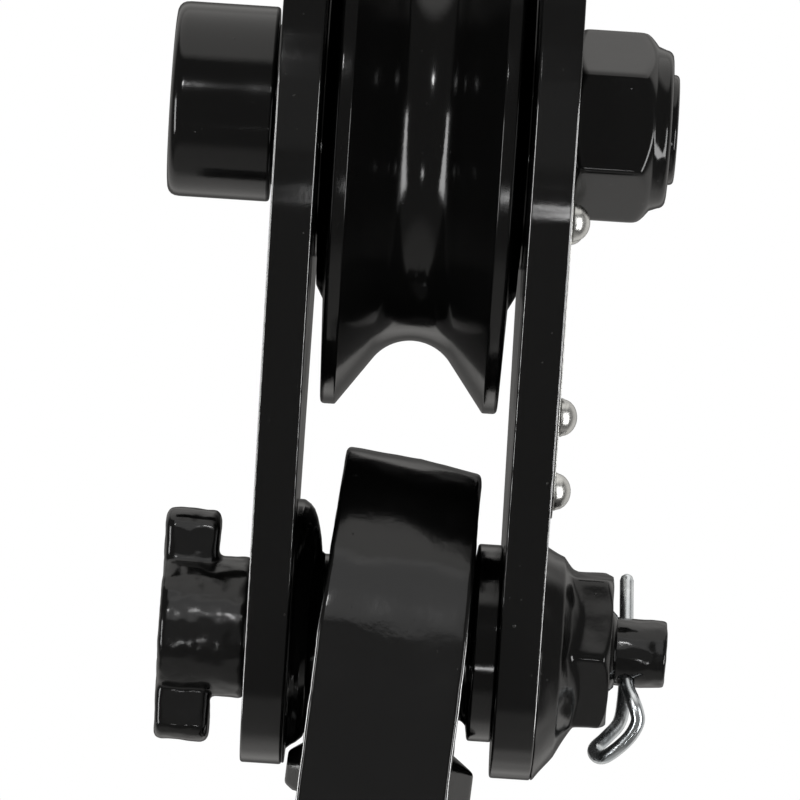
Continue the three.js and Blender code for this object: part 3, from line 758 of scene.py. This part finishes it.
def opening_sleeve():
    """A sleeve whose flange is a full dome above, and thin below where the swivel nut passes."""
    low, high = span("opening_side_sleeve")
    x0, flange = low.x, high.y
    profile = [
        (x0, LOCK_R + GAP), (x0, flange), (x0 + 0.4, flange - 0.2), (x0 + 0.45, 22.0), (x0 + 0.5, 21.2),
        (x0 + 0.55, 20.3), (x0 + 1.4, 19.6), (x0 + 2.2, 19.1), (x0 + 3.3, 18.1), (x0 + 3.8, 16.3),
        (x0 + 4.4, 14.3), (x0 + 5.2, 13.6), (-GAP, 13.6), (-GAP, LOCK_R + GAP),
    ]
    shape = soften(profile, [0.2, 0.2, 0.2, 0.5, 0.5, 0.6, 1.0, 1.0, 1.0, 0.8, 0.8, 0.6, 0.4, 0.3])
    piece = turned("opening_side_sleeve_painted", shape, AT_BOLT)
    crown_half = math.radians(75)
    full_radii = (14.3, 16.0, 17.9, 19.8, 21.4, 22.3, 22.9)
    full_depths = (4.7, 4.5, 4.1, 3.6, 2.9, 2.0, 0.8)
    for vertex in piece.data.vertices:
        y, z = vertex.co.y / MM, vertex.co.z / MM - BOLT_Z
        depth, radius = vertex.co.x / MM - x0, math.hypot(y, z)
        off = abs(math.atan2(y, z)) / crown_half
        more = np.interp(radius, full_radii, full_depths) - depth
        if off < 1 and depth > 0.3 and radius > full_radii[0] and more > 0:
            vertex.co.x += more * MM * math.cos(off * math.pi / 2) ** 2
    return show(piece, TURNED_ENAMEL, "opening_side_sleeve")


def fixed_sleeve():
    high = span("fixed_side_sleeve")[1]
    x1, flange = high.x, high.y
    profile = [
        (GAP, LOCK_R + GAP), (GAP, 13.6), (x1 - 5.4, 13.6), (x1 - 4.6, 14.4), (x1 - 4.2, flange),
        (x1, flange), (x1, LOCK_R + GAP),
    ]
    shape = soften(profile, [0.3, 0.4, 1.2, 0.6, 0.6, 0.5, 0.2])
    piece = turned("fixed_side_sleeve_painted", shape, AT_BOLT)
    return show(piece, TURNED_ENAMEL, "fixed_side_sleeve")


opening_sleeve()
fixed_sleeve()

# %% [markdown]
# The clip is bent from one wire. One leg goes straight through the pin, and the wire then turns
# back in a bow and springs round the pin's side. Its points are given one by one, from the pin's axis.

# %% Spring clip
CLIP_POINTS = [
    (-0.5, 7.9, 12.1), (-0.3, 4.5, 6.9), (0, 0, 0), (0.4, -3.5, -5.4), (1.4, -5.3, -7.9),
    (2.2, -6.0, -9.8), (2.5, -6.0, -11.6), (1.5, -5.6, -14.0), (-0.6, -4.9, -16.4), (-2.8, -3.4, -18.1),
    (-4.1, -1.2, -18.0), (-4.3, 0.9, -16.9), (-2.5, 3.0, -15.1), (-0.3, 5.4, -12.4), (0.3, 7.6, -8.6),
    (0.4, 8.7, -3.6), (0.4, 8.4, 0.6),
]
clip_place = Matrix.Translation((CLIP_X, 0, BOLT_Z))
clip = wire("spring_clip_wire", smooth_path(CLIP_POINTS, 10), 1.2, clip_place, 28)
show(clip, ZINC_WIRE, "spring_clip")

# %% [markdown]
# ## The rating plate
#
# A thin aluminium plate held by five domed rivets. The real one is stamped with its maker's words,
# so ours only keeps the stamped border and three blank fields.

# %% Plate and rivets


def rating_plate():
    low, high = span("rating_plate")
    x0, x1 = low.x, high.x
    top, half, arc_r, shoulder, waist, foot, foot_half = -13.6, 20.5, 19.2, -52.0, 16.5, low.z, 6.0

    def outline(inset):
        start = math.asin((top - inset) / (arc_r + inset)) if arc_r + inset > -top else -1.2
        bite = arc(0, 0, arc_r + inset, start, -math.pi - start, 40)
        right = [(half - inset, top - inset)]
        left = [(inset - half, top - inset), (inset - waist, shoulder)]
        corner = [(-waist + 1.5 + inset, foot + 4), (-foot_half, foot + inset)]
        mirrored = [(-y, z) for y, z in reversed([left[1], *corner])]
        points = right + bite + left + corner + mirrored
        return spaced([tuple(p) for p in points], 0.8)

    plate = cut_plate("rating_plate_sheet", outline(0), [], x0, x1 - 0.1, 0.12, steps=2)
    fields = [(-28.0, 8.0, 2.6), (-37.5, 10.5, 3.4), (-45.5, 7.0, 1.8)]
    frames = []
    for z, half_width, half_height in fields:
        box = [(-half_width, z - half_height), (half_width, z - half_height)]
        box += [(half_width, z + half_height), (-half_width, z + half_height)]
        rim = [tuple(p) for p in soften([Vector(p) for p in box], 0.8)]
        inner = [(y * (1 - 0.7 / half_width), z + (w - z) * (1 - 0.7 / half_height)) for y, w in rim]
        frames.append(cut_plate("field", rim, [inner[::-1]], x1 - 0.2, x1, 0.04, steps=1))
    bpy.ops.object.select_all(action="DESELECT")
    for part in [plate, *frames]:
        part.modifiers.clear()
        part.select_set(True)
    bpy.context.view_layer.objects.active = plate
    bpy.ops.object.join()
    return show(even_shading(plate), ALUMINIUM, "rating_plate")


def rivet(node):
    """A domed rivet head with a thin skirt."""
    low, high = span(node)
    middle = (low + high) / 2
    radius, height = (high.y - low.y) / 2, high.x - low.x
    steps = 10
    dome = [(low.x, 0), (low.x, radius), (low.x + 0.25, radius)]
    for i in range(1, steps + 1):
        a = math.pi / 2 * i / steps
        dome.append((low.x + 0.25 + (height - 0.25) * math.sin(a), (radius - 0.15) * math.cos(a)))
    place = Matrix.Translation((0, middle.y, middle.z))
    return show(turned(node + "_head", dome, place, sides=64), ALUMINIUM, node)


rating_plate()
for number in range(1, 6):
    rivet(f"rating_plate_rivet_{number}")

# %% [markdown]
# ## The swivel bail
#
# A forged loop that hangs on the half sleeves and carries the hook's swivel. Its section is a
# rounded rectangle, swept round the loop: each ring joins a point of the outer contour to the
# matching point of the inner one. Drop forging leaves a soft skin and slightly wandering edges.

# %% Bail


def loop_pairs():
    """Matching points of the outer and inner contour, round the loop from the right shoulder."""
    outer_r, inner_r, corner, small, seat, foot = 30.6, 18.4, 15.0, 2.5, -29.3, -43.5
    count = 90
    pairs = list(zip(arc(0, 0, outer_r, 0, math.pi, count), arc(0, 0, inner_r, 0, math.pi, count)))

    def straight(a, b, c, d, steps):
        for i in range(1, steps):
            t = i / steps
            first = tuple(p + (q - p) * t for p, q in zip(a, b))
            second = tuple(p + (q - p) * t for p, q in zip(c, d))
            pairs.append((first, second))

    turn_out = (corner - outer_r, foot + corner)
    turn_in = (small - inner_r, seat + small)
    straight((-outer_r, 0), (-outer_r, turn_out[1]), (-inner_r, 0), (-inner_r, turn_in[1]), 26)
    left = list(
        zip(
            arc(*turn_out, corner, math.pi, 1.5 * math.pi, 30),
            arc(*turn_in, small, math.pi, 1.5 * math.pi, 30),
        )
    )
    pairs += left
    straight(left[-1][0], (-left[-1][0][0], foot), left[-1][1], (-left[-1][1][0], seat), 30)
    pairs += [((-o[0], o[1]), (-i[0], i[1])) for o, i in reversed(left)]
    straight((outer_r, turn_out[1]), (outer_r, 0), (inner_r, turn_in[1]), (inner_r, 0), 26)
    return pairs


def bail():
    """The loop, with its crown a little narrower and sloping to one side."""
    offset, half_width, taper, slope, edge, crown_r = -0.25, 12.75, 0.08, 0.075, 1.0, 30.6
    camber = 0.5
    corners = [(1, -1), (1, 1), (0, 1), (0, -1)]
    rings = []
    for outer, inner in loop_pairs():
        thickness = math.dist(outer, inner)
        box = [(share * thickness, side * half_width) for share, side in corners]
        rounded = soften([Vector(p) for p in box], [edge, edge, edge, edge], steps=6)
        section = resampled([tuple(p) for p in rounded], 72)
        ring = []
        for depth, x in section:
            share = depth / thickness
            y, z = (i + (o - i) * share for o, i in zip(outer, inner))
            up = max(z, 0) / crown_r
            rise = camber * up * (1 - (x / half_width) ** 2) * share
            ring.append((offset + x * (1 - taper * up), y, z - slope * x * up * up + rise))
        rings.append(ring)
    whole = mesh_object("swivel_bail_forged", *skin(rings, closed=True), LEANED)
    uneven(whole, (0.20, 9.0), (0.12, 3.2), (0.03, 1.2))
    inside = ON_SWIVEL @ Vector((0, 0, -25)), ON_SWIVEL @ Vector((0, 0, -50))
    drilled(whole, 8.0, *inside)
    return show(whole, FORGED_ENAMEL, "swivel_bail")


def resampled(outline, count):
    """A closed outline with the given number of points, closer together round its corners."""
    ring = np.array(outline + outline[:1], float)
    steps = np.linalg.norm(np.diff(ring, axis=0), axis=1)
    along = np.concatenate([[0], np.cumsum(np.minimum(steps, 0.35 * steps**0.5 + 0.1))])
    places = np.linspace(0, along[-1], count, endpoint=False)
    return np.stack([np.interp(places, along, ring[:, i]) for i in (0, 1)], axis=1)


bail()

# %% [markdown]
# ## The swivel and the hook
#
# The hook's shank passes through the bail and is held by a hexagon nut, pinned so that it cannot
# turn loose. The hook itself is an eye-less swivel hook: its body swells towards the bowl, where
# the load sits, and thins to a blunt tip that the latch closes on.

# %% Swivel nut, washer and pin


def swivel_nut():
    top, foot, corner, face_r = -18.3, -28.2, 16.15, 11.3
    angles = np.linspace(0, 2 * math.pi, 288, endpoint=False)
    hexagon = hexagon_radius(angles, corner + 0.2, math.pi / 2, 2.4)
    sections = []
    for x in np.linspace(foot, top, 44):
        crown = face_r + (top - x) * 1.45
        washer_face = corner - 1.5 + (x - foot) * 1.6
        limit = np.full_like(angles, min(crown, washer_face))
        sections.append((x, soft_smallest([hexagon, limit], 3.2)))
    shape = radial("swivel_nut_painted", sections, 7.95, ON_SWIVEL @ X_TO_Z)
    return show(shape, FORGED_ENAMEL, "swivel_nut")


def swivel_washer():
    profile = [(-29.25, 7.95), (-29.25, 13.5), (-28.25, 13.5), (-28.25, 7.95)]
    shape = turned("swivel_washer_painted", soften(profile, 0.25), ON_SWIVEL @ X_TO_Z)
    return show(shape, TURNED_ENAMEL, "swivel_washer")


def roll_pin():
    low, high = -14.0, 14.0
    profile = [(low, 0), (low, 1.5), (high, 1.5), (high, 0)]
    place = ON_SWIVEL @ Matrix.Translation((0, 0, -24.6))
    shape = turned("swivel_roll_pin_turned", soften(profile, [0, 0.4, 0.4, 0]), place, sides=48)
    return show(shape, ZINC_SHEET, "swivel_roll_pin")


swivel_nut()
swivel_washer()
roll_pin()

# %% Hook
# The middle line of the hook: y, z, half thickness in the hook's plane, half thickness across it.
HOOK_LINE = [
    (0, -46.5, 9.5, 9.2), (-1, -53, 9.5, 9.0), (-8, -60.5, 9.5, 9.0), (-18, -69, 10.0, 9.0),
    (-25, -80, 10.5, 9.5), (-26.5, -92, 11.0, 10.0), (-21, -104, 11.5, 10.5), (-10, -112, 12.0, 11.0),
    (3, -113.5, 11.5, 10.5), (15, -109, 10.5, 10.0), (23.5, -100, 9.5, 9.0), (27.5, -89, 8.0, 7.8),
    (29, -79, 6.5, 6.5), (31, -71, 5.0, 5.0), (32.2, -67.4, 2.8, 2.8),
]
LATCH_PIVOT = (11.5, -55.5)


def hook():
    line = smooth_path([(0, y, z) for y, z, _, _ in HOOK_LINE], 10)
    sizes = smooth_path([(a, b, 0) for _, _, a, b in HOOK_LINE], 10)
    rings = []
    for i, (middle, size) in enumerate(zip(line, sizes)):
        ahead = line[min(i + 1, len(line) - 1)] - line[max(i - 1, 0)]
        normal = Vector((1, 0, 0)).cross(ahead).normalized()
        circle = [2 * math.pi * j / 48 for j in range(48)]
        across = Vector((1, 0, 0))
        rings.append(
            [middle + normal * (size.x * math.cos(a)) + across * (size.y * math.sin(a)) for a in circle]
        )
    body = mesh_object("body", *skin(rings), ON_SWIVEL)
    top, collar_top, collar_end = -18.3, -43.55, -48.5
    shank = [(top, 0), (top, 7.9), (collar_top, 7.9), (collar_top, 12.5), (collar_end, 12.5)]
    shank.append((collar_end, 0))
    shank = turned("shank", soften(shank, [0, 0.8, 0.3, 0.8, 1.4, 0]), ON_SWIVEL @ X_TO_Z, sides=96)
    y, z = LATCH_PIVOT
    lug = arc(y, z, 4.0, -math.pi / 2, math.pi / 2, 24) + [(0, z + 4), (0, z - 4)]
    lug = cut_plate("lug", lug, [], -2.6, 2.6, 0.5, ON_SWIVEL)
    whole = forged("hook_forged", [body, shank, lug], 0.5, 6)
    uneven(whole, (0.14, 9.0), (0.05, 3.0))
    return show(whole, FORGED_ENAMEL, "hook")


hook()

# %% [markdown]
# ## The latch
#
# A pressed zinc latch, its pin and a small coil spring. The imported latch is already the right
# shape, so it stays and only gets its edges rounded.

# %% Latch, latch pin and spring


def latch():
    piece = frame["nodes"]["hook_latch"]
    piece.data.materials.clear()
    piece.data.materials.append(ZINC_SHEET)
    rounding = piece.modifiers.new("rounded edges", "BEVEL")
    rounding.width, rounding.segments, rounding.limit_method = 0.25 * MM, 3, "ANGLE"
    rounding.angle_limit = math.radians(35)
    rounding.harden_normals = True


def latch_pin():
    y, z = LATCH_PIVOT
    half = [(0, 1.45), (6.9, 1.45), (6.9, 2.6), (8.0, 2.0), (8.0, 0)]
    half = [tuple(p) for p in soften([Vector(p) for p in half], [0, 0.1, 0.4, 0.4, 0], closed=False)]
    whole = half[1:] + [(-x, r) for x, r in reversed(half[1:])]
    place = ON_SWIVEL @ Matrix.Translation((0, y, z))
    return show(turned("latch_pin_headed", whole, place, sides=48), ZINC_SHEET, "latch_pin")


def latch_spring():
    y, z = LATCH_PIVOT
    start, end, radius, turns = 3.25, 4.95, 2.5, 2
    path = []
    for i in range(turns * 24 + 1):
        a = 2 * math.pi * i / 24
        path.append((start + (end - start) * i / (turns * 24), radius * math.cos(a), radius * math.sin(a)))
    place = ON_SWIVEL @ Matrix.Translation((0, y, z))
    return show(wire("latch_spring_coil", path, 0.45, place, 14), ZINC_WIRE, "latch_spring")


latch()
latch_pin()
latch_spring()

# %% [markdown]
# ## Studio
#
# Gloss black shows nothing but its surroundings, so the surroundings are the picture: a dark room
# in front, a pale ceiling, floor and backdrop, strip lights to the sides and one small lamp. A few
# cards light only the forgings, the bare metals or the floor, as flags and shades would.
# The world is white only for the camera, as a sheet of lit paper would be.

# %% World


def studio_world():
    world = bpy.data.worlds.new("studio")
    bpy.context.scene.world = world
    world.use_nodes = True
    tree = world.node_tree
    tree.nodes.clear()
    ray = add(tree, "ShaderNodeTexCoord").outputs["Generated"]
    parts = add(tree, "ShaderNodeSeparateXYZ", {"Vector": ray}).outputs
    ceiling = ranged(tree, parts["Z"], 0.70, 0.80, 0.0, 0.85)
    floor = ranged(tree, parts["Z"], -0.80, -0.90, 0.0, 0.22)
    backdrop = ranged(tree, parts["Y"], 0.0, 0.35, 0.0, 0.55)
    ahead = ranged(tree, parts["Y"], 0.82, 0.93, 1.0, 0.0)
    backdrop = add(tree, "ShaderNodeMath", {0: backdrop, 1: ahead}, operation="MULTIPLY").outputs[0]
    bright = add(tree, "ShaderNodeMath", {0: ceiling, 1: floor}, operation="MAXIMUM").outputs[0]
    bright = add(tree, "ShaderNodeMath", {0: bright, 1: backdrop}, operation="MAXIMUM").outputs[0]
    bright = add(tree, "ShaderNodeMath", {0: bright, 1: 0.14}, operation="ADD").outputs[0]
    room = add(tree, "ShaderNodeBackground", {"Color": colour("#fffdfa"), "Strength": bright})
    paper = add(tree, "ShaderNodeBackground", {"Color": colour("#ffffff"), "Strength": 1.0})
    camera_ray = add(tree, "ShaderNodeLightPath").outputs["Is Camera Ray"]
    both = add(tree, "ShaderNodeMixShader", {0: camera_ray, 1: room.outputs[0], 2: paper.outputs[0]})
    add(tree, "ShaderNodeOutputWorld", {"Surface": both.outputs[0]})


studio_world()

# %% Floor
low = cad_bounds[0]
bpy.ops.mesh.primitive_circle_add(vertices=96, radius=1.2, fill_type="NGON")
floor = bpy.context.object
floor.name = "floor"
floor.location = (0, 0, low.z - 0.05)
paper = new_material("pale paper", Base_Color=colour("#f4f4f2"), Roughness=0.9)[0]
floor.data.materials.append(paper)
floor.visible_glossy = False

# %% Lamps


def lamp(name, azimuth, elevation, width, height, radiance, distance=1.2, aim=(0, 0, -0.04)):
    """A soft box. Azimuth 0 is the camera's side and 90 the right, both angles in degrees."""
    a, e = math.radians(azimuth), math.radians(elevation)
    light = bpy.data.lights.new(name, "AREA")
    light.shape = "RECTANGLE"
    light.size, light.size_y = width, height
    light.energy = radiance * math.pi * width * height
    made = bpy.data.objects.new(name, light)
    bpy.context.scene.collection.objects.link(made)
    towards = Vector((math.sin(a) * math.cos(e), -math.cos(a) * math.cos(e), math.sin(e)))
    made.location = Vector(aim) + towards * distance
    made.rotation_euler = towards.to_track_quat("Z", "Y").to_euler()
    made.visible_camera = False
    return made


def only_for(light, *pieces):
    """Keeps a lamp's light on the given pieces."""
    lit = bpy.data.collections.new("lit by " + light.name)
    for piece in pieces:
        lit.objects.link(piece)
    light.light_linking.receiver_collection = lit


lamp("strip_left", -52, -16, 0.30, 0.72, 8)
lamp("strip_right", 52, -16, 0.30, 0.72, 8)
lamp("small_lamp", -8, 17, 0.07, 0.07, 45)
lamp("low_lamp", 3, -30, 0.10, 0.05, 16)

forgings = [bpy.data.objects[name] for name in ("swivel_bail_forged", "lock_bolt_forged", "hook_forged")]
only_for(lamp("front_card", 0, 27, 0.6, 0.95, 0.8), *forgings)
only_for(lamp("low_card", 0, -14, 0.6, 0.70, 0.12), *forgings)
cheeks = [bpy.data.objects[node + "_painted"] for node in ("fixed_cheek", "opening_cheek")]
only_for(lamp("cheek_card", 0, -2, 0.5, 0.6, 0.12), *cheeks)
for side in (-1, 1):
    only_for(lamp("outer_edge_strip", side * 112, -14, 0.30, 0.85, 24), *cheeks, forgings[0])
    only_for(lamp("inner_edge_strip", side * 66, -14, 0.20, 0.85, 30), *cheeks)
metals = [o for o in bpy.data.objects if o.type == "MESH" and o.data.materials and o.data.materials[0]]
metals = [o for o in metals if o.data.materials[0] in (ZINC_WIRE, ZINC_SHEET, ALUMINIUM)]
only_for(lamp("metal_left", -38, 22, 0.6, 0.6, 3.0), *metals)
only_for(lamp("metal_right", 48, 12, 0.5, 0.6, 3.0), *metals)
only_for(lamp("floor_lamp", 0, 78, 1.5, 1.5, 6, distance=2.5), floor)

# %% [markdown]
# ## Camera
#
# A long lens from the front, level with the block's waist and rolled by about four degrees.

# %% Camera
CAMERA_PLACE = Vector((-0.0015, -1.35, -0.0494))
CAMERA_ROLL = math.radians(3.7)
FIELD_OF_VIEW = math.radians(5.84)
camera = bpy.data.cameras.new("camera")
camera.lens = camera.sensor_width / 2 / math.tan(FIELD_OF_VIEW / 2)
camera.clip_start, camera.clip_end = 0.05, 20
viewer = bpy.data.objects.new("camera", camera)
viewer.location = CAMERA_PLACE
facing = Matrix.Rotation(math.pi / 2, 4, "X")
viewer.rotation_euler = (Matrix.Rotation(-CAMERA_ROLL, 4, "Y") @ facing).to_euler()
bpy.context.scene.collection.objects.link(viewer)
bpy.context.scene.camera = viewer
bpy.context.scene.view_settings.view_transform = "Standard"
